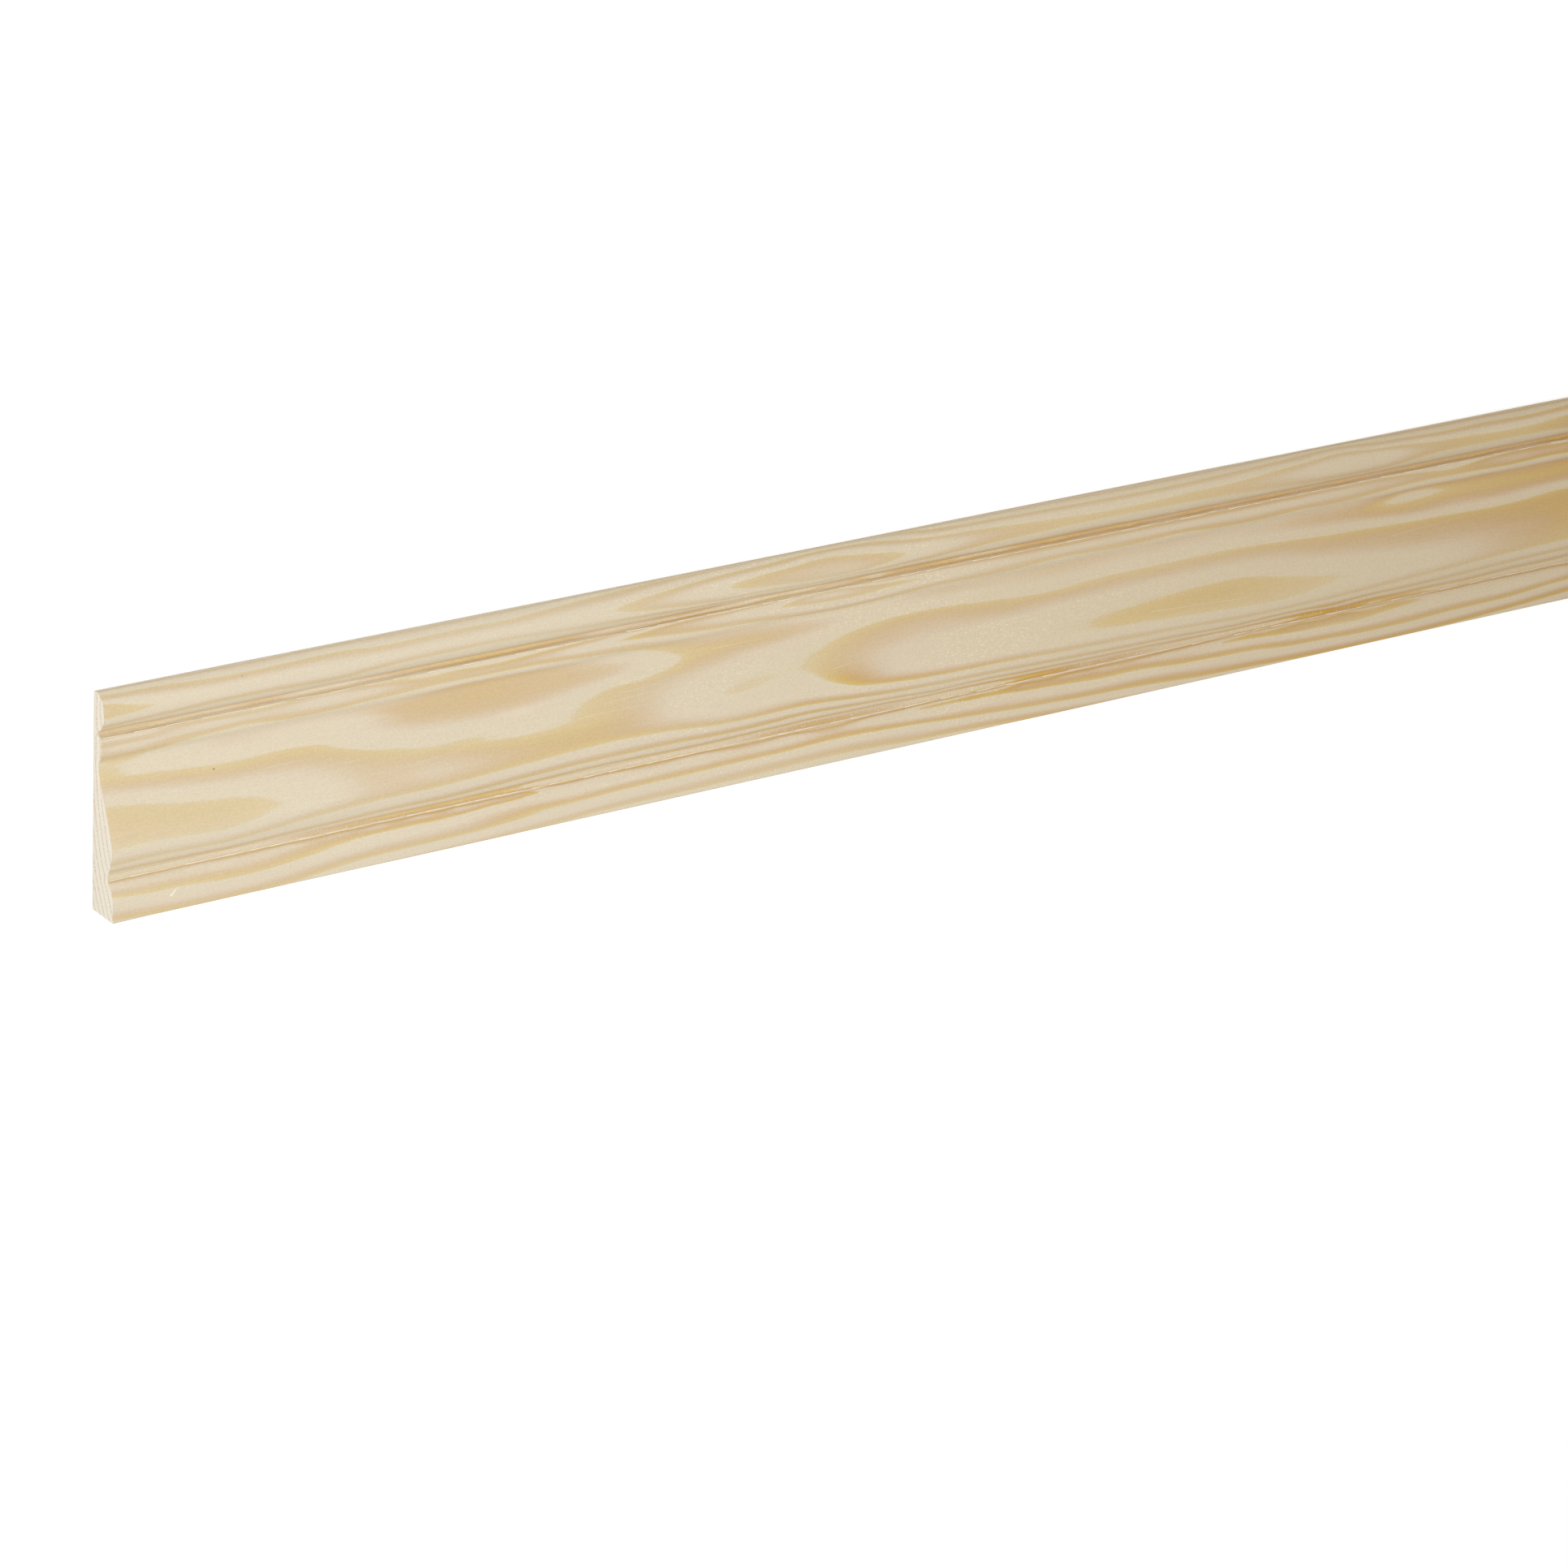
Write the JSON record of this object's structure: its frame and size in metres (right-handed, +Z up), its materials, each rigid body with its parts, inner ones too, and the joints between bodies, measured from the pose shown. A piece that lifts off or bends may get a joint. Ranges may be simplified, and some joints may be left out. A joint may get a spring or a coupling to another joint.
{
  "type": "ogee moulding",
  "caption": "Planed pine ogee moulding, one solid length: thick banded edge, lower quirk, S-curved face, small raised strip, upper quirk and a rounded bead along the thin edge.",
  "frame": {"origin": "middle of the flat back face, half way along the length and half way across the width", "axes": "+X along the length and the grain; +Y across the width, from the thick edge to the thin edge; +Z up from the back through the thickness, out of the moulded face"},
  "size_m": [2.1, 0.069, 0.012],
  "materials": {
    "pine": "planed and unfinished, flat-sawn grain, satin where the cutter burnished it"
  },
  "bodies": {
    "root": {"ogee_moulding": "pine"}
  },
  "joints": []
}
